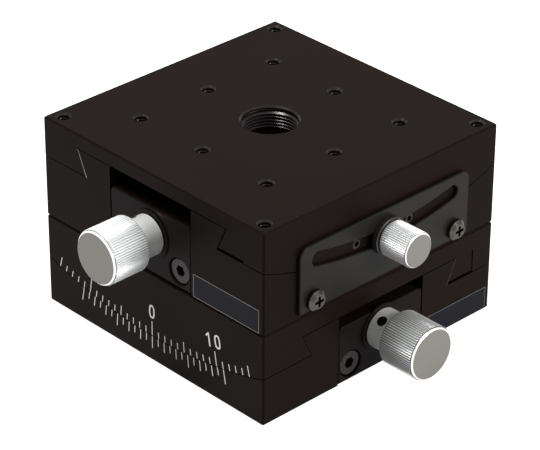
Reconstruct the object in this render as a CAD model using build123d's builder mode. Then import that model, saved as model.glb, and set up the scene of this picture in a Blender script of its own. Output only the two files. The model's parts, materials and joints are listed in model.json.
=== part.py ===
from build123d import *
from math import asin, atan, ceil, cos, degrees, pi, radians, sin, sqrt, tan
import os

os.makedirs("parts", exist_ok=True)

# A two-axis goniometer stage. Two tilt stages stand on each other, turned by a quarter turn, and
# tilt about two axes that cross above the table. Each stage is a base with an arc dovetail, a
# table that slides along it, a gib, a worm that drives a toothed sector under the table, a knob,
# and a clamp. Lengths are in millimetres and angles in degrees. The origin is the middle of the
# underside, and Z points up.

# Heights: the tilt axes cross above the table, and the rest is measured from the worm shaft
pivot_height = 158.0
shaft_height = 12.5
lower_top_rise = 15.5
upper_top_rise = 18.5
lower_rail_drop = 4.5
upper_rail_drop = 2.0

# Arc dovetail
guide_depth = 7.0
crown_half_width = 29.5
flank_angle = 26.0
skirt_thickness = 7.6
travel = 10.0  # each way
slide_gap = 0.25
flank_gap = 0.16
corner_chamfer = 0.5
edge_chamfer = 0.5

# Gib
gib_top_width = 6.9
gib_top_gap = 0.1
gib_wall_gap = 0.05
gib_under_gap = 0.5
gib_end_gap = 0.2
gib_screw_spacing = 20.0

# Worm and toothed sector
module = 1.0
worm_pitch_radius = 4.5
worm_length = 12.0
pressure_angle = 20.0
tooth_play = 0.25
tip_factor = 0.9
root_factor = 1.25
sector_tooth_width = 10.0
sector_flange_width = 20.0
sector_back = 2.75
sector_step = 0.25
sector_fit = 0.1
sector_screw_angle = 8.0
sector_screw_spacing = 15.0
worm_room = 0.5  # under the worm
channel_side_room = 2.5  # beside the worm
shaft_radius = 3.0

# Brackets that carry the shaft
bracket_width = 32.0
bracket_thickness = 8.0
bracket_side_gap = 0.2
bracket_lift = 0.6
lower_bracket_rise = 5.9
upper_bracket_rise = 8.2
bracket_corner = 1.5
bracket_chamfer = 0.3
pocket_chamfer = 0.25
bracket_screw_spacing = 22.8
bracket_screw_height = 5.6
bracket_ring_radius = 7.2
bracket_ring_height = 0.3
rear_bore_depth = 6.0

# Bushes, thrust collar and running clearances
bush_radius = 4.5
bush_flange_radius = 5.5
bush_flange = 1.0
running_gap = 0.05
end_gap = 0.2
collar_radius = 5.5
collar_length = 5.0

# Drive knob
hub_gap = 0.3
hub_radius = 5.9
hub_length = 6.0
knob_radius = 8.0
knob_length = 12.6
knob_chamfer = 0.7
knob_ridges = 72
knob_groove = 0.3
knob_bore_depth = 13.0
hub_screw_angle = 35.0  # from straight up, towards the left side of the front face

# Clamp: "rise" is above the middle of the slot
lower_slot_end = 30.9
upper_slot_end = 27.6
slot_width = 4.3
plate_thickness = 1.2
plate_relief = 0.2
plate_corner = 3.0
plate_foot_corner = 1.2
plate_chamfer = 0.25
lower_plate_half = 34.0
upper_plate_half = 32.0
lower_plate_foot = 1.5
upper_plate_foot = 1.9
lower_plate_rise = 7.9
upper_plate_rise = 7.8
lower_plate_screw = 28.0
upper_plate_screw = 26.8
lower_plate_screw_height = 4.5
upper_plate_screw_height = 5.1
washer_radius = 5.6
washer_thickness = 1.8
washer_chamfer = 0.3
face_gap = 0.1
clamp_knob_radius = 5.2
clamp_knob_length = 9.8
clamp_knob_chamfer = 0.5
clamp_knob_ridges = 54
clamp_knob_groove = 0.26
clamp_knob_bore_depth = 7.0
stud_radius = 2.0
stud_depth = 6.0
stud_room = 1.0

# Holes in the tables
grid_pitch = 25.0
outer_hole_inset = 4.0
joint_hole_inset = 8.0
tapped_radius = 1.65
countersink_radius = 2.25
outer_hole_depth = 8.0
inner_hole_depth = 5.5
countersink_angle = 90.0
centre_hole_radius = 8.0
centre_chamfer_radius = 8.5
centre_hole_depth = 8.0

# Holes and screws that hold a stage down
joint_clear_radius = 2.25
joint_seat_height = 6.0
joint_engagement = 6.0
joint_hole_room = 1.0

# Fasteners: shank radius, head radius, head height, and width across flats of the key
m4_radius = 2.0
m4_head_radius = 3.5
m4_head_height = 4.0
m4_key = 3.0
m3_radius = 1.5
m3_key = 1.5
pan_head_radius = 3.0
pan_head_height = 2.0
pan_head_bevel = 0.9
recess_length = 3.2
recess_width = 0.9
recess_depth = 1.0
m25_radius = 1.25
m25_head_radius = 2.3
thread_fit = 0.02
head_room = 0.5
hole_room = 0.5
key_depth = 2.0
bracket_screw_engagement = 7.0
plate_screw_engagement = 6.0
sector_screw_engagement = 3.8

# Worked out from the values above
gib_wall = crown_half_width + gib_top_width
half = gib_wall + skirt_thickness
plate_side = 2 * half
outer_pitch = plate_side - 2 * outer_hole_inset
joint_pitch = plate_side - 2 * joint_hole_inset
pitch = pi * module
worm_outer = worm_pitch_radius + tip_factor * module
worm_root = worm_pitch_radius - root_factor * module
lead_angle = degrees(atan(pitch / (2 * pi * worm_pitch_radius)))
channel_floor = shaft_height - worm_outer - worm_room
channel_width = 2 * (worm_outer + channel_side_room)
notch_width = bracket_width + 2 * bracket_side_gap
bush_bore = shaft_radius + running_gap
hub_start = half + bracket_ring_height + hub_gap
shaft_front = hub_start + knob_bore_depth - end_gap
shaft_rear = half - bracket_thickness + rear_bore_depth - end_gap
collar_start = half - bracket_thickness - bush_flange - end_gap
head_pocket_radius = m4_head_radius + head_room
bracket_screw_places = [
    (-bracket_screw_spacing / 2, bracket_screw_height),
    (bracket_screw_spacing / 2, bracket_screw_height),
]
sector_screw_places = [
    (across, angle)
    for across in (-sector_screw_spacing / 2, sector_screw_spacing / 2)
    for angle in (-sector_screw_angle, sector_screw_angle)
]


class Stage:
    """One tilt stage: "across" runs over the dovetail, "along" is the way that its table slides."""

    def __init__(self, name, floor, across, top_rise, rail_drop):
        self.name = name
        self.floor = floor
        self.height = shaft_height + top_rise
        self.across = Vector(across)
        self.up = Vector(0, 0, 1)
        self.along = self.up.cross(self.across)
        self.pivot = Vector(0, 0, pivot_height)
        self.tilt_axis = Axis(self.pivot, self.across)
        self.pivot_up = pivot_height - floor
        self.top_radius = self.pivot_up - self.height
        self.rail_radius = self.pivot_up - shaft_height + rail_drop
        self.slot_radius = self.rail_radius - guide_depth / 2
        self.crown_radius = self.rail_radius - guide_depth
        self.skirt_radius = self.rail_radius - slide_gap
        self.roof_radius = self.crown_radius - slide_gap
        self.sector_pitch_radius = self.pivot_up - shaft_height - worm_pitch_radius
        self.sector_seat_radius = self.sector_pitch_radius - root_factor * module - sector_back
        self.tooth_angle = degrees(pitch / self.sector_pitch_radius)
        worm_angle = degrees(asin(worm_length / 2 / self.sector_pitch_radius))
        self.tooth_spaces = ceil((travel + worm_angle) / self.tooth_angle)  # each way
        self.sector_angle = (self.tooth_spaces + 1) * self.tooth_angle
        self.sweep = degrees(atan(plate_side / self.top_radius))

    def point(self, across, along, up):
        """A point of the stage's own frame, whose origin is the middle of its underside."""
        return self.across * across + self.along * along + Vector(0, 0, self.floor + up)

    def level(self, up):
        """A level plane, with x across and y along."""
        return Plane(origin=self.point(0, 0, up), x_dir=self.across, z_dir=self.up)

    def front(self, out):
        """A plane that faces the knob's side, "out" from the middle, with x across and y up."""
        return Plane(origin=self.point(0, -out, 0), x_dir=self.across, z_dir=-self.along)

    def rear(self, out):
        """A plane that faces away from the knob, with y up."""
        return Plane(origin=self.point(0, out, 0), x_dir=-self.across, z_dir=self.along)

    def side(self, out):
        """A plane that faces the clamp's side, with x along and y up."""
        return Plane(origin=self.point(out, 0, 0), x_dir=self.along, z_dir=self.across)

    def ray(self, angle):
        """The direction from the pivot to the guide, "angle" away from straight down."""
        return self.along * sin(radians(angle)) - self.up * cos(radians(angle))

    def swing(self, angle):
        """A plane through the tilt axis, with x across and y the distance from that axis."""
        ahead = self.along * cos(radians(angle)) + self.up * sin(radians(angle))
        return Plane(origin=self.pivot, x_dir=self.across, z_dir=ahead)

    def under(self, across, angle, radius):
        """A plane that faces away from the pivot, at a place on the guide."""
        origin = self.pivot + self.across * across + self.ray(angle) * radius
        return Plane(origin=origin, x_dir=self.across, z_dir=self.ray(angle))

    def shaft(self, along):
        """A plane across the shaft, whose x points up and whose z points to the rear."""
        return Plane(origin=self.point(0, along, shaft_height), x_dir=self.up, z_dir=self.along)

    def flank(self, radius):
        """Half the width of the male dovetail at a distance from the tilt axis."""
        return crown_half_width - (radius - self.crown_radius) * tan(radians(flank_angle))

    def gib_screw_places(self):
        """Where the gib screws sit, along and up."""
        along = gib_screw_spacing / 2
        up = self.up_at(self.slot_radius, along)
        return [(-along, up), (along, up)]

    def plate_screw_places(self):
        """Where the clamp plate's screws sit, along and up."""
        return [
            (-self.plate_screw, self.plate_screw_height),
            (self.plate_screw, self.plate_screw_height),
        ]

    def up_at(self, radius, along):
        """The height at which an arc about the tilt axis passes over a place along the stage."""
        return self.pivot_up - sqrt(radius**2 - along**2)


lower = Stage("lower", 0.0, (1, 0, 0), lower_top_rise, lower_rail_drop)
upper = Stage("upper", lower.height, (0, -1, 0), upper_top_rise, upper_rail_drop)
stages = [lower, upper]

# Sizes that differ between the two stages
lower.bracket_rise = lower_bracket_rise
upper.bracket_rise = upper_bracket_rise
lower.slot_end = lower_slot_end
upper.slot_end = upper_slot_end
lower.plate_half = lower_plate_half
upper.plate_half = upper_plate_half
lower.plate_foot = lower_plate_foot
upper.plate_foot = upper_plate_foot
lower.plate_rise = lower_plate_rise
upper.plate_rise = upper_plate_rise
lower.plate_screw = lower_plate_screw
upper.plate_screw = upper_plate_screw
lower.plate_screw_height = lower_plate_screw_height
upper.plate_screw_height = upper_plate_screw_height


def finish(builder, name):
    """Name a finished piece and write it."""
    builder.part.label = name
    export_step(builder.part, "parts/" + name + ".step")


def along_guide(stage, points, half_angle):
    """An outline, given as distances across and from the tilt axis, swept along the guide."""
    with BuildPart() as swept:
        with BuildSketch(stage.swing(-half_angle)):
            with BuildLine():
                Polyline(*points, close=True)
            make_face()
        revolve(axis=stage.tilt_axis, revolution_arc=2 * half_angle)
    return swept.part


def square_block(stage, end):
    """The square block that a base or a table is milled from, with one bevelled end face."""
    with BuildPart() as block:
        with BuildSketch(stage.level(0)):
            Rectangle(plate_side, plate_side)
        extrude(amount=stage.height)
        chamfer(block.edges().filter_by(Axis.Z), corner_chamfer)
        chamfer(block.faces().sort_by(Axis.Z)[end].edges(), edge_chamfer)
    return block.part


def place_on(plane, x, y):
    """The same plane with its origin moved to a point in it."""
    return Plane(origin=plane.from_local_coords((x, y, 0)), x_dir=plane.x_dir, z_dir=plane.z_dir)


def cap_screws(planes, length):
    """Socket head screws: each plane lies under a head and faces out of it."""
    with BuildPart() as screws:
        for plane in planes:
            with BuildSketch(plane):
                Circle(m4_head_radius)
            extrude(amount=m4_head_height)
            with BuildSketch(plane):
                Circle(m4_radius)
            extrude(amount=-length)
            with BuildSketch(plane.offset(m4_head_height)):
                RegularPolygon(m4_key / 2, 6, major_radius=False)
            extrude(amount=-key_depth, mode=Mode.SUBTRACT)
    return screws


def set_screws(planes, length):
    """Set screws: each socket lies in its plane, and the screw runs against the normal."""
    with BuildPart() as screws:
        for plane in planes:
            with BuildSketch(plane):
                Circle(m3_radius)
            extrude(amount=-length)
            with BuildSketch(plane):
                RegularPolygon(m3_key / 2, 6, major_radius=False)
            extrude(amount=-length / 2, mode=Mode.SUBTRACT)
    return screws


def knurled_body(plane, radius, length, ridges, groove, bevel):
    """A straight-knurled cylinder that stands on the plane, bevelled at both ends."""
    root = radius - groove
    turn = 360 / ridges
    outline = []
    for index in range(ridges):
        outline.append(Vector(radius, 0).rotate(Axis.Z, index * turn))
        outline.append(Vector(root, 0).rotate(Axis.Z, (index + 0.5) * turn))
    with BuildPart() as body:
        with BuildSketch(plane):
            Circle(root)
        extrude(amount=length)
        chamfer(body.edges().filter_by(GeomType.CIRCLE), bevel - groove)
        with BuildSketch(plane.offset(bevel)):
            with BuildLine():
                Polyline(*outline, close=True)
            make_face()
        extrude(amount=length - 2 * bevel)
    return body.part


# Base
def make_base(stage):
    # Everything above the rails goes, apart from the male dovetail
    rail = stage.rail_radius
    crown = stage.crown_radius
    beyond = stage.top_radius - edge_chamfer
    outline = [
        (-plate_side, rail),
        (-stage.flank(rail), rail),
        (-stage.flank(crown), crown),
        (stage.flank(crown), crown),
        (stage.flank(rail), rail),
        (plate_side, rail),
        (plate_side, beyond),
        (-plate_side, beyond),
    ]
    with BuildPart() as base:
        add(square_block(stage, 0))
        add(along_guide(stage, outline, stage.sweep), mode=Mode.SUBTRACT)
        # Channel for the worm, and the two notches for the brackets
        with BuildSketch(stage.level(channel_floor)):
            Rectangle(channel_width, plate_side)
        extrude(amount=stage.height, mode=Mode.SUBTRACT)
        with BuildSketch(stage.level(0)):
            with GridLocations(0, plate_side - bracket_thickness, 1, 2):
                Rectangle(notch_width, bracket_thickness)
        extrude(amount=stage.height, mode=Mode.SUBTRACT)
        # Counterbored holes that hold the stage down
        with Locations(stage.level(stage.height)):
            with GridLocations(joint_pitch, joint_pitch, 2, 2):
                CounterBoreHole(
                    joint_clear_radius, head_pocket_radius, stage.height - joint_seat_height
                )
        # Tapped holes for the bracket screws and the clamp plate screws
        inner = half - bracket_thickness
        for plane in (stage.front(inner), stage.rear(inner)):
            with Locations(plane):
                with Locations(*bracket_screw_places):
                    Hole(m4_radius + thread_fit, bracket_screw_engagement + hole_room)
        with Locations(stage.side(half)):
            with Locations(*stage.plate_screw_places()):
                Hole(m3_radius + thread_fit, plate_screw_engagement + hole_room)
    finish(base, stage.name + "_base")


# Table
def make_table(stage):
    # Everything below the skirts goes, with the groove that holds the dovetail and the gib
    skirt = stage.skirt_radius
    roof = stage.roof_radius
    beyond = stage.pivot_up + plate_side
    side_gap = flank_gap / cos(radians(flank_angle))
    outline = [
        (-plate_side, skirt),
        (-stage.flank(skirt) - side_gap, skirt),
        (-stage.flank(roof) - side_gap, roof),
        (gib_wall, roof),
        (gib_wall, skirt),
        (plate_side, skirt),
        (plate_side, beyond),
        (-plate_side, beyond),
    ]
    # Seat of the toothed sector
    seat = stage.sector_seat_radius
    groove = sector_flange_width / 2 + sector_fit
    seat_outline = [(-groove, seat), (groove, seat), (groove, skirt), (-groove, skirt)]
    seat_angle = stage.sector_angle + degrees(sector_fit / seat)
    with BuildPart() as table:
        add(square_block(stage, -1))
        add(along_guide(stage, outline, stage.sweep), mode=Mode.SUBTRACT)
        add(along_guide(stage, seat_outline, seat_angle), mode=Mode.SUBTRACT)
        for across, angle in sector_screw_places:
            with Locations(stage.under(across, angle, seat)):
                Hole(m25_radius + thread_fit, sector_screw_engagement + hole_room)
        # Holes through the skirt for the gib screws, and the tapped hole for the clamp stud
        with Locations(stage.side(half)):
            with Locations(*stage.gib_screw_places()):
                Hole(m3_radius + thread_fit, skirt_thickness)
            with Locations((0, stage.pivot_up - stage.slot_radius)):
                Hole(stud_radius + running_gap, stud_depth + stud_room)
        with Locations(stage.level(stage.height)):
            if stage is lower:
                # Tapped holes for the screws that join the stages
                with GridLocations(joint_pitch, joint_pitch, 2, 2):
                    Hole(m4_radius + thread_fit, joint_engagement + joint_hole_room)
            else:
                # Threaded hole in the middle, with tapped holes round it and in the corners
                CounterSinkHole(
                    centre_hole_radius, centre_chamfer_radius, centre_hole_depth, countersink_angle
                )
                grid = [(x, y) for x in (-grid_pitch, 0, grid_pitch) for y in (-grid_pitch, 0, grid_pitch)]
                grid.remove((0, 0))
                with Locations(*grid):
                    CounterSinkHole(
                        tapped_radius, countersink_radius, inner_hole_depth, countersink_angle
                    )
                with GridLocations(outer_pitch, outer_pitch, 2, 2):
                    CounterSinkHole(
                        tapped_radius, countersink_radius, outer_hole_depth, countersink_angle
                    )
    finish(table, stage.name + "_table")


# Gib and its screws
def make_gib(stage):
    top = stage.roof_radius + gib_top_gap
    foot = stage.skirt_radius - gib_under_gap
    wall = gib_wall - gib_wall_gap
    side_gap = flank_gap / cos(radians(flank_angle))
    outline = [
        (stage.flank(top) + side_gap, top),
        (wall, top),
        (wall, foot),
        (stage.flank(foot) + side_gap, foot),
    ]
    with BuildPart() as gib:
        add(along_guide(stage, outline, stage.sweep))
        with BuildSketch(stage.level(0)):
            Rectangle(plate_side, plate_side - 2 * gib_end_gap)
        extrude(amount=stage.height, mode=Mode.INTERSECT)
    finish(gib, stage.name + "_gib")

    length = skirt_thickness - face_gap
    face = stage.side(wall + length)
    planes = [place_on(face, x, y) for x, y in stage.gib_screw_places()]
    finish(set_screws(planes, length), stage.name + "_gib_screws")


# Toothed sector and its screws
def make_sector(stage):
    pitch_radius = stage.sector_pitch_radius
    seat = stage.sector_seat_radius
    tip = pitch_radius + tip_factor * module
    root = pitch_radius - root_factor * module
    tooth_half = sector_tooth_width / 2
    flange_half = sector_flange_width / 2
    outline = [
        (-flange_half, seat),
        (flange_half, seat),
        (flange_half, root - sector_step),
        (tooth_half, root - sector_step),
        (tooth_half, tip),
        (-tooth_half, tip),
        (-tooth_half, root - sector_step),
        (-flange_half, root - sector_step),
    ]
    # Half the width of a tooth space at its root and just past the tips
    slope = tan(radians(pressure_angle))
    past = tip + module
    root_half = (pitch / 2 + tooth_play) / 2 - (pitch_radius - root) * slope
    past_half = (pitch / 2 + tooth_play) / 2 + (past - pitch_radius) * slope
    with BuildPart() as sector:
        add(along_guide(stage, outline, stage.sector_angle))
        # The spaces slant by the worm's lead angle
        for index in range(-stage.tooth_spaces, stage.tooth_spaces + 1):
            angle = index * stage.tooth_angle
            out = stage.ray(angle)
            ahead = stage.swing(angle).z_dir
            slant = stage.across * cos(radians(lead_angle)) + ahead * sin(radians(lead_angle))
            with BuildSketch(Plane(origin=stage.pivot, x_dir=out, z_dir=slant)):
                with BuildLine():
                    Polyline(
                        (root, -root_half),
                        (past, -past_half),
                        (past, past_half),
                        (root, root_half),
                        close=True,
                    )
                make_face()
            extrude(amount=flange_half, both=True, mode=Mode.SUBTRACT)
        for across, angle in sector_screw_places:
            with Locations(stage.under(across, angle, root - sector_step)):
                CounterSinkHole(
                    m25_radius + thread_fit, m25_head_radius, sector_back, countersink_angle
                )
    finish(sector, stage.name + "_sector")

    flange = sector_back - sector_step
    with BuildPart() as screws:
        for across, angle in sector_screw_places:
            plane = stage.under(across, angle, root - sector_step - thread_fit)
            with BuildSketch(plane):
                Circle(m25_radius)
            extrude(amount=-flange - sector_screw_engagement)
            with BuildSketch(plane):
                Circle(m25_head_radius - 2 * thread_fit)
            extrude(amount=m25_radius - m25_head_radius, taper=countersink_angle / 2)
            with BuildSketch(plane):
                RegularPolygon(m3_key / 2, 6, major_radius=False)
            extrude(amount=-m25_radius, mode=Mode.SUBTRACT)
    finish(screws, stage.name + "_sector_screws")


# Worm thread, made once about the Z axis: its crest passes X at heights of whole pitches
def worm_thread():
    turns = ceil(worm_length / 2 / pitch)
    slope = tan(radians(pressure_angle))
    crest_half = (pitch / 2 - tooth_play) / 2 - tip_factor * module * slope
    sunk = worm_root - running_gap
    base_half = (pitch / 2 - tooth_play) / 2 + (worm_pitch_radius - sunk) * slope
    with BuildPart() as thread:
        with BuildLine() as line:
            helix = Helix(pitch, 2 * turns * pitch, worm_pitch_radius, (0, 0, -turns * pitch))
        section = Plane(origin=helix @ 0, x_dir=(1, 0, 0), z_dir=helix % 0)
        with BuildSketch(section):
            with BuildLine():
                Polyline(
                    (sunk - worm_pitch_radius, -base_half),
                    (worm_outer - worm_pitch_radius, -crest_half),
                    (worm_outer - worm_pitch_radius, crest_half),
                    (sunk - worm_pitch_radius, base_half),
                    close=True,
                )
            make_face()
        sweep(path=line.wires()[0], is_frenet=True)
        with BuildSketch(Plane.XY.offset(-worm_length / 2)):
            Circle(worm_outer + module)
        extrude(amount=worm_length, mode=Mode.INTERSECT)
    return thread.part


# Worm shaft, its thrust collar and the collar's screw
def make_drive(stage, thread):
    with BuildPart() as worm_shaft:
        with BuildSketch(stage.shaft(-shaft_front)):
            Circle(shaft_radius)
        extrude(amount=shaft_front + shaft_rear)
        with BuildSketch(stage.shaft(-worm_length / 2)):
            Circle(worm_root)
        extrude(amount=worm_length)
        with Locations(stage.shaft(0)):
            add(thread)
    finish(worm_shaft, stage.name + "_worm_shaft")

    middle = -collar_start + collar_length / 2
    screw_plane = Plane(
        origin=stage.point(0, middle, shaft_height + collar_radius - face_gap),
        x_dir=stage.across,
        z_dir=stage.up,
    )
    screw_length = collar_radius - face_gap - shaft_radius
    with BuildPart() as collar:
        with BuildSketch(stage.shaft(-collar_start)):
            Circle(collar_radius)
            Circle(shaft_radius + thread_fit, mode=Mode.SUBTRACT)
        extrude(amount=collar_length)
        with Locations(screw_plane.offset(face_gap)):
            Hole(m3_radius + thread_fit, collar_radius)
    finish(collar, stage.name + "_thrust_collar")

    finish(set_screws([screw_plane], screw_length), stage.name + "_collar_screw")


# Brackets, their screws and the bushes
def make_brackets(stage):
    height = shaft_height + stage.bracket_rise - bracket_lift
    inner = half - bracket_thickness
    for name, facing in (("front", stage.front), ("rear", stage.rear)):
        with BuildPart() as bracket:
            with BuildSketch(facing(inner)):
                with Locations((0, bracket_lift + height / 2)):
                    plate = Rectangle(bracket_width, height)
                fillet(plate.vertices().group_by(Axis.Y)[-1], bracket_corner)
            extrude(amount=bracket_thickness)
            outer = bracket.faces().sort_by(Axis(facing(0).origin, facing(0).z_dir))[-1]
            chamfer(outer.edges(), bracket_chamfer)
            with Locations(facing(half)):
                with Locations(*bracket_screw_places):
                    CounterBoreHole(
                        m4_radius + head_room / 2, head_pocket_radius, m4_head_height + head_room
                    )
            mouths = bracket.faces().sort_by(Axis(facing(0).origin, facing(0).z_dir))[-1].inner_wires()
            chamfer(mouths.edges(), pocket_chamfer)
            if name == "front":
                with BuildSketch(facing(half)):
                    with Locations((0, shaft_height)):
                        Circle(bracket_ring_radius)
                extrude(amount=bracket_ring_height)
                with Locations(facing(half + bracket_ring_height)):
                    with Locations((0, shaft_height)):
                        Hole(bush_radius + thread_fit)
            else:
                with BuildSketch(facing(inner)):
                    with Locations((0, shaft_height)):
                        Circle(bush_radius + thread_fit)
                extrude(amount=rear_bore_depth, mode=Mode.SUBTRACT)
        finish(bracket, stage.name + "_" + name + "_bracket")

        head_seat = bracket_thickness - m4_head_height - head_room
        seat = facing(inner + head_seat)
        planes = [place_on(seat, x, y) for x, y in bracket_screw_places]
        screws = cap_screws(planes, head_seat + bracket_screw_engagement)
        finish(screws, stage.name + "_" + name + "_bracket_screws")

        length = bracket_thickness if name == "front" else rear_bore_depth
        with BuildPart() as bush:
            with BuildSketch(facing(inner)):
                with Locations((0, shaft_height)):
                    Circle(bush_radius)
                    Circle(bush_bore, mode=Mode.SUBTRACT)
            extrude(amount=length)
            with BuildSketch(facing(inner)):
                with Locations((0, shaft_height)):
                    Circle(bush_flange_radius)
                    Circle(bush_bore, mode=Mode.SUBTRACT)
            extrude(amount=-bush_flange)
        finish(bush, stage.name + "_" + name + "_bush")


# Drive knob and its set screw
def make_knob(stage):
    hub_face = stage.shaft(-hub_start)
    outward = Plane(origin=hub_face.origin, x_dir=stage.across, z_dir=-stage.along)
    radial = stage.up * cos(radians(hub_screw_angle)) - stage.across * sin(radians(hub_screw_angle))
    screw_centre = stage.point(0, -hub_start - hub_length / 2, shaft_height)
    screw_face = hub_radius - face_gap
    grip = knurled_body(
        outward.offset(hub_length), knob_radius, knob_length, knob_ridges, knob_groove, knob_chamfer
    )
    with BuildPart() as knob:
        add(grip)
        with BuildSketch(outward):
            Circle(hub_radius)
        extrude(amount=hub_length)
        with BuildSketch(outward):
            Circle(shaft_radius + thread_fit)
        extrude(amount=knob_bore_depth, mode=Mode.SUBTRACT)
        with Locations(Plane(origin=screw_centre + radial * hub_radius, z_dir=radial)):
            Hole(m3_radius + thread_fit, hub_radius)
    finish(knob, stage.name + "_knob")

    face = Plane(origin=screw_centre + radial * screw_face, z_dir=radial)
    finish(set_screws([face], screw_face - shaft_radius), stage.name + "_knob_screw")


# Clamp: plate with the arc slot, its screws, washer, knob and stud
def make_clamp(stage):
    slot_radius = stage.slot_radius
    slot_angle = degrees(asin((stage.slot_end - slot_width / 2) / slot_radius))
    slot_path = CenterArc((0, stage.pivot_up), slot_radius, 270 - slot_angle, 2 * slot_angle)
    foot = stage.plate_foot
    height = stage.pivot_up - slot_radius + stage.plate_rise - foot
    with BuildPart() as clamp_plate:
        with BuildSketch(stage.side(half)):
            with Locations((0, foot + height / 2)):
                outline = Rectangle(2 * stage.plate_half, height)
            fillet(outline.vertices().group_by(Axis.Y)[-1], plate_corner)
            fillet(outline.vertices().group_by(Axis.Y)[0], plate_foot_corner)
            SlotArc(slot_path, slot_width, mode=Mode.SUBTRACT)
            with Locations(*stage.plate_screw_places()):
                Circle(m3_radius + thread_fit, mode=Mode.SUBTRACT)
        extrude(amount=plate_thickness)
        outer = clamp_plate.faces().sort_by(Axis(stage.pivot, stage.across))[-1]
        chamfer(outer.edges(), plate_chamfer)
        # The back is relieved where the table slides past it
        with BuildSketch(stage.side(half)):
            with Locations((0, stage.pivot_up)):
                Circle(stage.rail_radius + slide_gap)
        extrude(amount=plate_relief, mode=Mode.SUBTRACT)
    finish(clamp_plate, stage.name + "_clamp_plate")

    with BuildPart() as screws:
        face = stage.side(half + plate_thickness)
        for x, y in stage.plate_screw_places():
            plane = place_on(face, x, y)
            with BuildSketch(plane):
                Circle(pan_head_radius)
            head = extrude(amount=pan_head_height)
            outer = head.faces().sort_by(Axis(plane.origin, plane.z_dir))[-1]
            chamfer(outer.edges(), pan_head_bevel)
            with BuildSketch(plane):
                Circle(m3_radius)
            extrude(amount=-plate_thickness - plate_screw_engagement)
            with BuildSketch(plane.offset(pan_head_height)):
                Rectangle(recess_length, recess_width)
                Rectangle(recess_width, recess_length)
            extrude(amount=-recess_depth, mode=Mode.SUBTRACT)
    finish(screws, stage.name + "_clamp_plate_screws")

    out = half + plate_thickness + face_gap
    up = stage.pivot_up - slot_radius
    seat = Plane(origin=stage.point(out, 0, up), x_dir=stage.along, z_dir=stage.across)
    with BuildPart() as washer:
        with BuildSketch(seat):
            Circle(washer_radius)
            Circle(stud_radius + face_gap, mode=Mode.SUBTRACT)
        extrude(amount=washer_thickness)
        outer = washer.faces().sort_by(Axis(stage.pivot, stage.across))[-1]
        chamfer(outer.edges(), washer_chamfer)
    finish(washer, stage.name + "_clamp_washer")

    knob_back = seat.offset(washer_thickness + face_gap)
    grip = knurled_body(
        knob_back, clamp_knob_radius, clamp_knob_length, clamp_knob_ridges, clamp_knob_groove,
        clamp_knob_chamfer,
    )
    with BuildPart() as clamp_knob:
        add(grip)
        with BuildSketch(knob_back):
            Circle(stud_radius + thread_fit)
        extrude(amount=clamp_knob_bore_depth, mode=Mode.SUBTRACT)
    finish(clamp_knob, stage.name + "_clamp_knob")

    with BuildPart() as stud:
        with BuildSketch(Plane(origin=stage.point(half - stud_depth, 0, up), z_dir=stage.across)):
            Circle(stud_radius)
        through = plate_thickness + 2 * face_gap + washer_thickness
        extrude(amount=stud_depth + through + clamp_knob_bore_depth - end_gap)
    finish(stud, stage.name + "_clamp_stud")


# Screws that join the upper base to the lower table
def make_joining_screws():
    seat = upper.level(joint_seat_height)
    offset = joint_pitch / 2
    places = [(x, y) for x in (-offset, offset) for y in (-offset, offset)]
    planes = [place_on(seat, x, y) for x, y in places]
    finish(cap_screws(planes, joint_seat_height + joint_engagement), "joining_screws")


thread = worm_thread()
for stage in stages:
    make_base(stage)
    make_table(stage)
    make_gib(stage)
    make_sector(stage)
    make_drive(stage, thread)
    make_brackets(stage)
    make_knob(stage)
    make_clamp(stage)
make_joining_screws()
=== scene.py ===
import json
from math import cos, radians, sin, tan, tau

import bpy
from mathutils import Matrix, Vector


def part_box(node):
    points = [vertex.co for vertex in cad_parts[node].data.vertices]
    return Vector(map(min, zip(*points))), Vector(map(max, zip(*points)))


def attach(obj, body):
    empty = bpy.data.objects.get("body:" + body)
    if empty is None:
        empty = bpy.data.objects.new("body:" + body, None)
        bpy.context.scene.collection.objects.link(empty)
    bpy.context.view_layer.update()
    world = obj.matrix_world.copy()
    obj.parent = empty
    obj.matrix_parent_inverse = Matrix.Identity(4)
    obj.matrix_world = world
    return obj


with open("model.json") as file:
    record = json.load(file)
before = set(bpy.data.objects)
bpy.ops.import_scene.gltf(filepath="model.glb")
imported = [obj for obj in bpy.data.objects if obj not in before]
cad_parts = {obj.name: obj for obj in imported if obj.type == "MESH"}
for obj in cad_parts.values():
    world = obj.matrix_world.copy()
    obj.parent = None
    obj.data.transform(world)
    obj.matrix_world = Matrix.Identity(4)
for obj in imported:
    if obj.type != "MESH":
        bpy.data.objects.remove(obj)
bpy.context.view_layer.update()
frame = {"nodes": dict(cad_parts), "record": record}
nodes = frame["nodes"]

# Sizes are in metres, and MM turns a size in millimetres into one
MM = 0.001

# The two stages, as in the CAD model: "across" points to the clamp, "along" away from the knob
HALF = 44 * MM
TOP = 59 * MM
PIVOT = Vector((0, 0, 158 * MM))
STAGES = {
    "lower": {
        "floor": 0.0,
        "across": Vector((1, 0, 0)),
        "along": Vector((0, 1, 0)),
        "base": "frame",
        "table": "lower_tilting",
        "rail": 150 * MM,
        "crown": 143 * MM,
    },
    "upper": {
        "floor": 28 * MM,
        "across": Vector((0, -1, 0)),
        "along": Vector((1, 0, 0)),
        "base": "lower_tilting",
        "table": "upper_tilting",
        "rail": 119.5 * MM,
        "crown": 112.5 * MM,
    },
}
UP = Vector((0, 0, 1))


# Node helpers: an output is a pair of a node and the name or number of one of its outputs
GRAIN_DEPTH = 0.01 * MM


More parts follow.
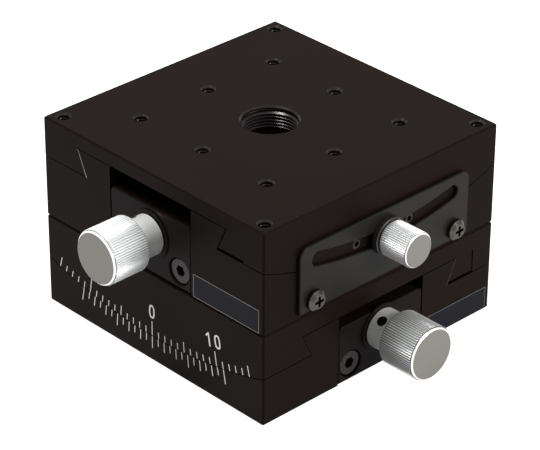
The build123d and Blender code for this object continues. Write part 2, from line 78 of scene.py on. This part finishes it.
class Nodes:
    """Builds the node tree of a material or of the world."""

    def __init__(self, owner, output_kind):
        owner.use_nodes = True
        self.tree = owner.node_tree
        self.tree.nodes.clear()
        self.output = self.add(output_kind)

    def add(self, kind, **settings):
        node = self.tree.nodes.new("ShaderNode" + kind)
        for key, value in settings.items():
            setattr(node, key, value)
        return node

    def link(self, source, target, socket):
        node, output = source
        self.tree.links.new(node.outputs[output], target.inputs[socket])

    def feed(self, value, target, socket):
        """Gives an output, a number or a colour of four numbers to a socket."""
        if isinstance(value, tuple) and len(value) == 2:
            self.link(value, target, socket)
        else:
            target.inputs[socket].default_value = value

    def math(self, operation, first, second=0.0, clamp=False):
        node = self.add("Math", operation=operation, use_clamp=clamp)
        self.feed(first, node, 0)
        self.feed(second, node, 1)
        return (node, "Value")

    def noise(self, scale, detail):
        """Noise over the piece's own coordinates, with its features about 1 / scale metres wide."""
        place = self.add("TexCoord")
        node = self.add("TexNoise")
        node.inputs["Scale"].default_value = scale
        node.inputs["Detail"].default_value = detail
        self.link((place, "Object"), node, "Vector")
        return (node, "Fac")

    def spread(self, value, low, high, from_low=0.3, from_high=0.7):
        """Turns a value's range, by default the middle of a noise, into low to high."""
        node = self.add("MapRange")
        node.inputs["From Min"].default_value = from_low
        node.inputs["From Max"].default_value = from_high
        node.inputs["To Min"].default_value = low
        node.inputs["To Max"].default_value = high
        self.link(value, node, "Value")
        return (node, "Result")

    def mix(self, factor, first, second):
        """Mixes two colours or outputs; 6, 7 and 2 are the node's colour sockets."""
        node = self.add("Mix", data_type="RGBA")
        self.link(factor, node, "Factor")
        self.feed(first, node, 6)
        self.feed(second, node, 7)
        return (node, 2)

    def bump(self, height, strength):
        node = self.add("Bump")
        node.inputs["Strength"].default_value = strength
        node.inputs["Distance"].default_value = GRAIN_DEPTH
        self.link(height, node, "Height")
        return (node, "Normal")

    def seen_rays(self):
        """1 for the rays that show the backdrop, which are those of the camera, gloss and glass."""
        path = self.add("LightPath")
        seen = self.math("MAXIMUM", (path, "Is Camera Ray"), (path, "Is Glossy Ray"))
        return self.math("MAXIMUM", seen, (path, "Is Transmission Ray"))


class Surface(Nodes):
    """The node tree of one material, with its main shader."""

    def __init__(self, name):
        self.material = bpy.data.materials.new(name)
        super().__init__(self.material, "OutputMaterial")
        self.shader = self.add("BsdfPrincipled")
        self.link((self.shader, "BSDF"), self.output, "Surface")

    def set(self, **sockets):
        """Sets the shader's own sockets; an underscore stands for a blank."""
        for key, value in sockets.items():
            self.shader.inputs[key.replace("_", " ")].default_value = value

    def shade(self, base, roughness):
        self.link(base, self.shader, "Base Color")
        self.link(roughness, self.shader, "Roughness")


def colour(red, green, blue):
    """A colour from the 0 to 255 values that a screen shows."""
    def linear(value):
        share = value / 255
        return share / 12.92 if share <= 0.04045 else ((share + 0.055) / 1.055) ** 2.4
    return (linear(red), linear(green), linear(blue), 1.0)


# Materials; a grain is given as its features per metre
PATCHES = 60
ANODISED_GRAIN = 5200
STEEL_GRAIN = 3000
BRONZE_GRAIN = 2500
KNOB_GRAIN = 2600
PAINT_WEAR = 2500
PATCH_SHARE = 0.55
GRAIN_SHARE = 0.45
KNURL_DEPTH = 0.28 * MM
KNURL_REACH = 1.5 * KNURL_DEPTH
# Groove colours of the painted shade in the knurl: darker for the lower stage's knobs, which sit in more
# shade, lighter for the upper stage's lit knobs
DARK_GROOVE_SHADE = 120
LIGHT_GROOVE_SHADE = 172
FACING_ALONG = 0.9
FACING_ASIDE = 0.5
SIDE_ROUGHNESS = 0.32
END_ADDED_ROUGHNESS = 0.1


def black_anodised(name, dark, light, sheen, roughness):
    """Satin black anodised aluminium, a little brown, with a fine machined grain."""
    m = Surface(name)
    m.set(Metallic=0.0, Specular_IOR_Level=sheen)
    patches = m.noise(PATCHES, 2)
    grain = m.noise(ANODISED_GRAIN, 2)
    broad = m.math("MULTIPLY", patches, PATCH_SHARE)
    both = m.math("ADD", broad, m.math("MULTIPLY", grain, GRAIN_SHARE))
    m.shade(m.mix(both, dark, light), m.spread(patches, 0.92 * roughness, 1.08 * roughness))
    m.link(m.bump(grain, 0.25), m.shader, "Normal")
    return m.material


def plain_metal(name, base, roughness, grain_scale, metallic=1.0):
    """A metal with a fine grain in its colour, its roughness and its surface."""
    m = Surface(name)
    m.set(Metallic=metallic)
    grain = m.noise(grain_scale, 4)
    dark = tuple(0.88 * value for value in base[:3]) + (1.0,)
    m.shade(m.mix(grain, dark, base), m.spread(grain, 0.85 * roughness, 1.15 * roughness))
    m.link(m.bump(grain, 0.2), m.shader, "Normal")
    return m.material


def turned_knob(node_name, along, groove_shade_tone):
    """Clear anodised aluminium: bright ridges and a bright hub, painted shade that darkens the knurl
    grooves with their depth, and end faces painted darker as painted shade, also rougher.
    """
    low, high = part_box(node_name)
    across, index = ("Y", 1) if along == "X" else ("X", 0)
    radius = (high[2] - low[2]) / 2
    m = Surface(node_name + "_finish")
    m.set(Metallic=0.6)
    place = m.add("TexCoord")
    facing = m.add("SeparateXYZ")
    m.link((place, "Normal"), facing, "Vector")
    where = m.add("SeparateXYZ")
    m.link((place, "Object"), where, "Vector")
    level = m.math("ABSOLUTE", (facing, along))
    end_face = m.math("GREATER_THAN", level, FACING_ALONG)
    round_side = m.math("LESS_THAN", level, FACING_ASIDE)
    sideways = m.math("SUBTRACT", (where, across), (low[index] + high[index]) / 2)
    upward = m.math("SUBTRACT", (where, "Z"), (low[2] + high[2]) / 2)
    squares = m.math("ADD", m.math("MULTIPLY", sideways, sideways), m.math("MULTIPLY", upward, upward))
    depth = m.math("SUBTRACT", radius, m.math("SQRT", squares))
    knurled = m.math("MULTIPLY", m.math("LESS_THAN", depth, KNURL_REACH), round_side)
    # Painted shade: the knurl gets darker with its depth below the ridge tops
    groove_shade = m.math("MULTIPLY", knurled, m.math("DIVIDE", depth, KNURL_DEPTH, clamp=True))
    grain = m.noise(KNOB_GRAIN, 4)
    side = m.mix(grain, colour(226, 227, 225), colour(248, 249, 247))
    groove_shaded = m.mix(groove_shade, side, colour(groove_shade_tone, groove_shade_tone + 3, groove_shade_tone + 4))
    # Painted shade: the end faces get a much darker colour than the round side
    end = m.mix(grain, colour(104, 101, 96), colour(118, 114, 108))
    added = m.math("MULTIPLY", end_face, END_ADDED_ROUGHNESS)
    m.shade(m.mix(end_face, groove_shaded, end), m.math("ADD", added, SIDE_ROUGHNESS))
    m.link(m.bump(grain, 0.3), m.shader, "Normal")
    return m.material


def white_paint():
    """White paint in the engraved scale, with small thin places."""
    m = Surface("white_paint")
    wear = m.noise(PAINT_WEAR, 3)
    m.shade(m.mix(wear, colour(196, 194, 190), colour(232, 231, 226)), m.spread(wear, 0.5, 0.7))
    return m.material


MATERIALS = {
    "black_anodised": black_anodised("black_anodised", colour(10, 5, 3), colour(18, 10, 7), 0.03, 0.45),
    "black_screw_steel": plain_metal("black_screw_steel", colour(36, 33, 33), 0.28, STEEL_GRAIN, 0.8),
    "nickel_screw": plain_metal("nickel_screw", colour(78, 74, 69), 0.22, STEEL_GRAIN),
    "black_washer": plain_metal("black_washer", colour(30, 27, 26), 0.4, STEEL_GRAIN, 0.2),
    "shaft_steel": plain_metal("shaft_steel", colour(120, 120, 118), 0.25, STEEL_GRAIN),
    "bronze": plain_metal("bronze", colour(190, 150, 92), 0.35, BRONZE_GRAIN),
    "scale_marks": white_paint(),
}
PLATE_FINISH = black_anodised("black_anodised_plate", colour(16, 14, 12), colour(25, 22, 20), 0.1, 0.38)
BRACKET_FINISH = black_anodised("black_anodised_bracket", colour(10, 6, 5), colour(16, 10, 9), 0.04, 0.42)
LABEL_SHEET = black_anodised("label_sheet", colour(13, 12, 18), colour(19, 18, 25), 0.05, 0.4)


def own_finishes():
    """The nodes whose finish differs from that of their material slot."""
    finishes = {
        "lower_knob": turned_knob("lower_knob", "Y", DARK_GROOVE_SHADE),
        "lower_clamp_knob": turned_knob("lower_clamp_knob", "X", DARK_GROOVE_SHADE),
        "upper_knob": turned_knob("upper_knob", "X", LIGHT_GROOVE_SHADE),
        "upper_clamp_knob": turned_knob("upper_clamp_knob", "Y", LIGHT_GROOVE_SHADE),
    }
    for name in STAGES:
        finishes[name + "_clamp_plate"] = PLATE_FINISH
        finishes[name + "_front_bracket"] = BRACKET_FINISH
        finishes[name + "_rear_bracket"] = BRACKET_FINISH
    return finishes


def finish_nodes():
    finishes = own_finishes()
    for row in frame["record"]["subparts"]:
        materials = nodes[row["node"]].data.materials
        materials.clear()
        materials.append(finishes.get(row["node"]) or MATERIALS[row["material_slot"]])


finish_nodes()


# Placing flat work on a side face of a stage
class Face:
    """A side face: x runs to the viewer's right, y up from the stage's underside."""

    def __init__(self, stage, side):
        self.floor = stage["floor"]
        self.out = side
        self.right = UP.cross(side)

    def point(self, x, y, height=0.0):
        return self.right * x + UP * (self.floor + y) + self.out * (HALF + height)


def add_piece(name, vertices, faces, slot, body, material=None):
    mesh = bpy.data.meshes.new(name)
    mesh.from_pydata([tuple(v) for v in vertices], [], faces)
    mesh.validate()
    mesh.materials.append(material or MATERIALS[slot])
    piece = bpy.data.objects.new(name, mesh)
    bpy.context.scene.collection.objects.link(piece)
    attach(piece, body)
    return piece


def slab(outline, place, low, high):
    """A thin plate on a face: an outline's points, seen from outside in anticlockwise order."""
    count = len(outline)
    vertices = [place(x, y, low) for x, y in outline] + [place(x, y, high) for x, y in outline]
    faces = [tuple(reversed(range(count))), tuple(range(count, 2 * count))]
    for i in range(count):
        after = (i + 1) % count
        faces.append((i, after, count + after, count + i))
    return vertices, faces


def ring_slab(outer, inner, place, low, high):
    """A thin plate with a hole; both outlines have the same number of points."""
    count = len(outer)
    vertices = []
    for outline, height in ((outer, low), (inner, low), (outer, high), (inner, high)):
        vertices += [place(x, y, height) for x, y in outline]
    faces = []
    for i in range(count):
        j = (i + 1) % count
        faces.append((i, count + i, count + j, j))
        faces.append((2 * count + i, 2 * count + j, 3 * count + j, 3 * count + i))
        faces.append((i, j, 2 * count + j, 2 * count + i))
        faces.append((count + j, count + i, 3 * count + i, 3 * count + j))
    return vertices, faces


def join(parts):
    """Several (vertices, faces) pairs as one."""
    vertices, faces = [], []
    for some_vertices, some_faces in parts:
        start = len(vertices)
        vertices += some_vertices
        faces += [tuple(start + index for index in face) for face in some_faces]
    return vertices, faces


# Scale marks
MARK_WIDTH = 0.3 * MM
MARK_LOW = -0.01 * MM
MARK_HIGH = 0.015 * MM
SCALE_EDGE_GAP = 0.3 * MM
MAIN_LENGTHS = {"one": 2.0 * MM, "five": 3.2 * MM, "ten": 4.5 * MM}
VERNIER_LENGTHS = {
    "odd": 2.3 * MM,
    "even": 3.2 * MM,
    "six": 3.9 * MM,
    "twelve": 4.3 * MM,
    "zero": 3.85 * MM,
}
VERNIER_DIVISIONS = 12
VERNIER_SPAN = 11.0
DIGIT_HEIGHT = 4.2 * MM
DIGIT_WIDTH = 2.3 * MM
DIGIT_STROKE = 0.55 * MM
DIGIT_GAP = 1.0 * MM


def radial_mark(face, angle, near, far):
    """One mark along a ray from the tilt axis, between two distances from it."""
    pivot_up = PIVOT.z - face.floor
    ray = Vector((sin(radians(angle)), -cos(radians(angle))))
    beside = Vector((-ray.y, ray.x)) * (MARK_WIDTH / 2)
    top, foot = ray * near, ray * far
    outline = [top - beside, foot - beside, foot + beside, top + beside]
    points = [(p.x, p.y + pivot_up) for p in outline]
    return slab(points, face.point, MARK_LOW, MARK_HIGH)


def main_length(angle):
    if angle % 10 == 0:
        return MAIN_LENGTHS["ten"]
    return MAIN_LENGTHS["five"] if angle % 5 == 0 else MAIN_LENGTHS["one"]


def vernier_length(index):
    if index == 0:
        return VERNIER_LENGTHS["zero"]
    if abs(index) == VERNIER_DIVISIONS:
        return VERNIER_LENGTHS["twelve"]
    if abs(index) == VERNIER_DIVISIONS // 2:
        return VERNIER_LENGTHS["six"]
    return VERNIER_LENGTHS["odd" if index % 2 else "even"]


def oval(centre_x, centre_y, half_width, half_height, power=2.6, count=40):
    """A rounded upright oval, anticlockwise."""
    points = []
    for i in range(count):
        c, s = cos(tau * i / count), sin(tau * i / count)
        x = abs(c) ** (2 / power) * (1 if c >= 0 else -1)
        y = abs(s) ** (2 / power) * (1 if s >= 0 else -1)
        points.append((centre_x + half_width * x, centre_y + half_height * y))
    return points


def zero_digit(place):
    middle = DIGIT_HEIGHT / 2
    outer = oval(0, middle, DIGIT_WIDTH / 2, middle)
    inner = oval(0, middle, DIGIT_WIDTH / 2 - DIGIT_STROKE, middle - DIGIT_STROKE)
    return ring_slab(outer, inner, place, MARK_LOW, MARK_HIGH)


def one_digit(place):
    right = DIGIT_STROKE / 2
    flag = 1.5 * DIGIT_STROKE
    outline = [
        (-right, 0),
        (right, 0),
        (right, DIGIT_HEIGHT),
        (-right / 2, DIGIT_HEIGHT),
        (-right - flag, DIGIT_HEIGHT - flag),
        (-right - flag, DIGIT_HEIGHT - flag - DIGIT_STROKE),
        (-right, DIGIT_HEIGHT - 1.6 * DIGIT_STROKE),
    ]
    return slab(outline, place, MARK_LOW, MARK_HIGH)


def number(face, angle, digits, foot_radius):
    """A number whose foot stands at a distance from the tilt axis, turned with its ray."""
    pivot_up = PIVOT.z - face.floor
    turn = Matrix.Rotation(radians(angle), 2)
    parts = []
    step = (DIGIT_WIDTH + DIGIT_GAP) / 2
    starts = {1: [0.0], 2: [-step, step]}[len(digits)]
    for digit, start in zip(digits, starts):
        def place(x, y, height, start=start):
            local = turn @ Vector((x + start, y - foot_radius))
            return face.point(local.x, local.y + pivot_up, height)
        parts.append(zero_digit(place) if digit == "0" else one_digit(place))
    return parts


def make_scale(name, stage):
    """The degree marks on the table and the vernier on the base, on the side away from the clamp."""
    face = Face(stage, -stage["across"])
    skirt = stage["rail"] - SCALE_EDGE_GAP
    marks = [radial_mark(face, a, skirt - main_length(a), skirt) for a in range(-15, 16)]
    vertices, faces = join(marks)
    add_piece(name + "_degree_marks", vertices, faces, "scale_marks", stage["table"])
    number_foot = skirt - MAIN_LENGTHS["ten"] - DIGIT_GAP
    numbers = number(face, 0, "0", number_foot)
    for angle in (-10, 10):
        numbers += number(face, angle, "10", number_foot)
    vertices, faces = join(numbers)
    add_piece(name + "_degree_numbers", vertices, faces, "scale_marks", stage["table"])
    vernier = []
    for index in range(-VERNIER_DIVISIONS, VERNIER_DIVISIONS + 1):
        angle = index * VERNIER_SPAN / VERNIER_DIVISIONS
        vernier.append(
            radial_mark(face, angle, stage["rail"], stage["rail"] + vernier_length(index))
        )
    vertices, faces = join(vernier)
    add_piece(name + "_vernier_marks", vertices, faces, "scale_marks", stage["base"])


for stage_name, stage_values in STAGES.items():
    make_scale(stage_name, stage_values)


# Threads and countersinks in the top
GRID_PITCH = 25 * MM
OUTER_PITCH = 80 * MM
SMALL_HOLE = {
    "wall": 1.65 * MM,
    "crest": 1.52 * MM,
    "pitch": 0.7 * MM,
    "start": 0.75 * MM,
    "turns": 5,
    "steps": 28,
    "cone_mouth": 2.2 * MM,
    "cone_throat": 1.66 * MM,
}
CENTRE_HOLE = {
    "wall": 8.0 * MM,
    "crest": 7.46 * MM,
    "pitch": 1.0 * MM,
    "start": 1.0 * MM,
    "turns": 6,
    "steps": 96,
    "cone_mouth": 8.5 * MM,
    "cone_throat": 8.02 * MM,
}
THREAD_BASE = 0.45
THREAD_CREST = 0.1
SUNK = 0.02 * MM
CONE_LIFT = 0.015 * MM
CONE_STEPS = 40


def thread_ridge(centre, size):
    """A screw thread inside an upright hole: a ridge with a pointed crest that winds downwards."""
    count = size["turns"] * size["steps"]
    half_base = THREAD_BASE * size["pitch"]
    half_crest = THREAD_CREST * half_base
    wall = size["wall"] + SUNK
    vertices = []
    for i in range(count + 1):
        angle = tau * i / size["steps"]
        grown = min(1, i / size["steps"], (count - i) / size["steps"])
        height = TOP - size["start"] - size["pitch"] * i / size["steps"]
        crest = wall - (wall - size["crest"]) * grown
        section = [(wall, half_base), (crest, half_crest), (crest, -half_crest), (wall, -half_base)]
        for radius, rise in section:
            vertices.append(Vector((
                centre[0] + radius * cos(angle),
                centre[1] + radius * sin(angle),
                height + rise,
            )))
    faces = [(3, 2, 1, 0)]
    for i in range(count):
        for k in range(4):
            a, b = 4 * i + k, 4 * i + (k + 1) % 4
            faces.append((a, b, b + 4, a + 4))
    last = 4 * count
    faces.append((last, last + 1, last + 2, last + 3))
    return vertices, faces


def cone_skin(centre, size):
    """A thin conical ring that lies on the 45 degree countersink of an upright hole."""
    mouth, throat = size["cone_mouth"], size["cone_throat"]
    vertices = []
    for radius, lift in ((mouth, 0), (throat, 0), (mouth, CONE_LIFT), (throat, CONE_LIFT)):
        for i in range(CONE_STEPS):
            angle = tau * i / CONE_STEPS
            vertices.append(Vector((
                centre[0] + radius * cos(angle),
                centre[1] + radius * sin(angle),
                TOP - (mouth - radius) + lift,
            )))
    faces = []
    n = CONE_STEPS
    for i in range(n):
        j = (i + 1) % n
        faces.append((i, n + i, n + j, j))
        faces.append((2 * n + i, 2 * n + j, 3 * n + j, 3 * n + i))
        faces.append((i, j, 2 * n + j, 2 * n + i))
        faces.append((n + j, n + i, 3 * n + i, 3 * n + j))
    return vertices, faces


def make_top_holes():
    places = [(x * GRID_PITCH, y * GRID_PITCH) for x in (-1, 0, 1) for y in (-1, 0, 1) if x or y]
    places += [(x * OUTER_PITCH / 2, y * OUTER_PITCH / 2) for x in (-1, 1) for y in (-1, 1)]
    body = STAGES["upper"]["table"]
    vertices, faces = join([thread_ridge(place, SMALL_HOLE) for place in places])
    add_piece("top_hole_threads", vertices, faces, "black_screw_steel", body)
    vertices, faces = join([cone_skin(place, SMALL_HOLE) for place in places])
    add_piece("top_hole_countersinks", vertices, faces, "black_screw_steel", body)
    vertices, faces = thread_ridge((0, 0), CENTRE_HOLE)
    add_piece("centre_hole_thread", vertices, faces, "black_screw_steel", body)
    vertices, faces = cone_skin((0, 0), CENTRE_HOLE)
    add_piece("centre_hole_chamfer", vertices, faces, "black_screw_steel", body)


make_top_holes()

# Painted glints: thin metal strips along one dovetail flank at the two end faces of each base, standing
# in for light seen in the flank gap
FLANK_ANGLE = 26
FLANK_SLOPE = tan(radians(FLANK_ANGLE))
CROWN_HALF = 29.5 * MM
GLINT_TOP = 0.16 * MM
GLINT_FOOT = 0.3 * MM
GLINT_LOW = -0.01 * MM
GLINT_HIGH = 0.02 * MM
GLINT_STEPS = 6


def flank_half(stage, radius):
    """Half the width of the male dovetail at a distance from the tilt axis."""
    return CROWN_HALF - (radius - stage["crown"]) * FLANK_SLOPE


def flank_glint(stage, face, sign):
    """A painted glint: a narrow strip along one flank, a little wider at its foot."""
    pivot_up = PIVOT.z - stage["floor"]
    outline, back = [], []
    for i in range(GLINT_STEPS + 1):
        share = i / GLINT_STEPS
        radius = stage["crown"] + (stage["rail"] - stage["crown"]) * share
        height = pivot_up - (radius ** 2 - HALF ** 2) ** 0.5
        width = GLINT_TOP + (GLINT_FOOT - GLINT_TOP) * share
        outer = flank_half(stage, radius)
        outline.append((sign * outer, height))
        back.append((sign * (outer - width), height))
    points = outline + back[::-1]
    if sign > 0:
        points.reverse()
    return slab(points, face.point, GLINT_LOW, GLINT_HIGH)


def make_flank_glints(name, stage, sign, slot):
    """Painted glint strips on one flank, at the front and at the rear; sign is that of the side across.
    """
    front = flank_glint(stage, Face(stage, -stage["along"]), sign)
    rear = flank_glint(stage, Face(stage, stage["along"]), -sign)
    vertices, faces = join([front, rear])
    add_piece(name + "_flank_glints", vertices, faces, slot, stage["base"])


# Painted glints: a bright steel strip on the upper stage and a faint dark steel strip on the lower
make_flank_glints("upper", STAGES["upper"], -1, "shaft_steel")
make_flank_glints("lower", STAGES["lower"], 1, "black_screw_steel")

# Label places beside the knobs: a bare plate with a thin light line round it
LABEL_LEFT = 17.0 * MM
LABEL_RIGHT = 42.3 * MM
LABEL_FOOT = 0.5 * MM
LABEL_TOP = 7.5 * MM
LABEL_LINE = 0.12 * MM
LABEL_LOW = -0.01 * MM
LABEL_PLATE = 0.03 * MM
LABEL_HIGH = 0.05 * MM


def rectangle(inset):
    left, right = LABEL_LEFT + inset, LABEL_RIGHT - inset
    foot, top = LABEL_FOOT + inset, LABEL_TOP - inset
    return [(left, foot), (right, foot), (right, top), (left, top)]


def make_label(name, stage):
    face = Face(stage, -stage["along"])
    vertices, faces = slab(rectangle(LABEL_LINE), face.point, LABEL_LOW, LABEL_PLATE)
    add_piece(name + "_label_plate", vertices, faces, "black_washer", stage["base"], LABEL_SHEET)
    vertices, faces = ring_slab(rectangle(0), rectangle(LABEL_LINE), face.point, LABEL_LOW, LABEL_HIGH)
    add_piece(name + "_label_border", vertices, faces, "shaft_steel", stage["base"])


for stage_name, stage_values in STAGES.items():
    make_label(stage_name, stage_values)


# Camera, at the photograph's viewing angle
CAMERA_AZIMUTH = -43.76
CAMERA_ELEVATION = 30.18
CAMERA_ROLL = 0.36
CAMERA_DISTANCE = 745.9 * MM
CAMERA_DROP = 28.8 * MM
CAMERA_LENS = 181.9
CAMERA_NEAR = 0.05
CAMERA_FAR = 20


def make_camera():
    azimuth, elevation = radians(CAMERA_AZIMUTH), radians(CAMERA_ELEVATION)
    back = Vector((
        sin(azimuth) * cos(elevation),
        -cos(azimuth) * cos(elevation),
        sin(elevation),
    ))
    right = Vector((cos(azimuth), sin(azimuth), 0))
    turn = Matrix.Rotation(radians(CAMERA_ROLL), 3, back)
    right = turn @ right
    up = back.cross(right)
    camera = bpy.data.objects.new("camera", bpy.data.cameras.new("camera"))
    bpy.context.scene.collection.objects.link(camera)
    camera.data.lens = CAMERA_LENS
    camera.data.clip_start = CAMERA_NEAR
    camera.data.clip_end = CAMERA_FAR
    place = Vector((0, 0, TOP)) - up * CAMERA_DROP + back * CAMERA_DISTANCE
    camera.matrix_world = Matrix.Translation(place) @ Matrix((right, up, back)).transposed().to_4x4()
    bpy.context.scene.camera = camera


make_camera()


# Floor, world and lights: the camera, gloss and glass see the floor and the backdrop as plain white
FLOOR_SIZE = 3.0
FLOOR_DROP = 0.02 * MM
FLOOR_TONE = 0.3
FLOOR_GLOW = 0.96
SKY_LOW = 0.15
SKY_HIGH = 1.05
LIGHT_TARGET = Vector((0, 0, 30 * MM))


def make_floor():
    mesh = bpy.data.meshes.new("floor")
    corners = [(-1, -1), (1, -1), (1, 1), (-1, 1)]
    vertices = [(x * FLOOR_SIZE, y * FLOOR_SIZE, -FLOOR_DROP) for x, y in corners]
    mesh.from_pydata(vertices, [], [(0, 1, 2, 3)])
    floor = bpy.data.objects.new("floor", mesh)
    bpy.context.scene.collection.objects.link(floor)
    m = Surface("floor")
    m.set(Roughness=0.9, Specular_IOR_Level=0.0, Base_Color=(FLOOR_TONE, FLOOR_TONE, FLOOR_TONE, 1))
    glow = m.add("Emission")
    m.link(m.math("MULTIPLY", m.seen_rays(), FLOOR_GLOW), glow, "Strength")
    both = m.add("AddShader")
    m.link((m.shader, "BSDF"), both, 0)
    m.link((glow, "Emission"), both, 1)
    m.link((both, "Shader"), m.output, "Surface")
    mesh.materials.append(m.material)


def make_world():
    """A soft room, brighter overhead than at the walls, behind a plain white backdrop."""
    world = bpy.data.worlds.new("world")
    bpy.context.scene.world = world
    w = Nodes(world, "OutputWorld")
    place = w.add("TexCoord")
    apart = w.add("SeparateXYZ")
    w.link((place, "Generated"), apart, "Vector")
    room = w.add("Background")
    w.link(w.spread((apart, "Z"), SKY_LOW, SKY_HIGH, 0.0, 1.0), room, "Strength")
    backdrop = w.add("Background")
    backdrop.inputs["Strength"].default_value = 1.0
    for background in (room, backdrop):
        background.inputs["Color"].default_value = (1, 1, 1, 1)
    mix = w.add("MixShader")
    w.link(w.seen_rays(), mix, "Fac")
    w.link((room, "Background"), mix, 1)
    w.link((backdrop, "Background"), mix, 2)
    w.link((mix, "Shader"), w.output, "Surface")


def make_light(name, place, size, power):
    """A square lamp that faces the middle of the stage."""
    light = bpy.data.lights.new(name, "AREA")
    light.shape = "SQUARE"
    light.size = size
    light.energy = power
    lamp = bpy.data.objects.new(name, light)
    bpy.context.scene.collection.objects.link(lamp)
    lamp.location = place
    lamp.rotation_mode = "QUATERNION"
    lamp.rotation_quaternion = (LIGHT_TARGET - Vector(place)).to_track_quat("-Z", "Y")


make_floor()
make_world()
make_light("key", (-0.27, 0.34, 1.15), 0.3, 19.0)
make_light("side", (0.3, -1.0, 0.5), 0.35, 14.5)
bpy.context.scene.view_settings.view_transform = "Standard"
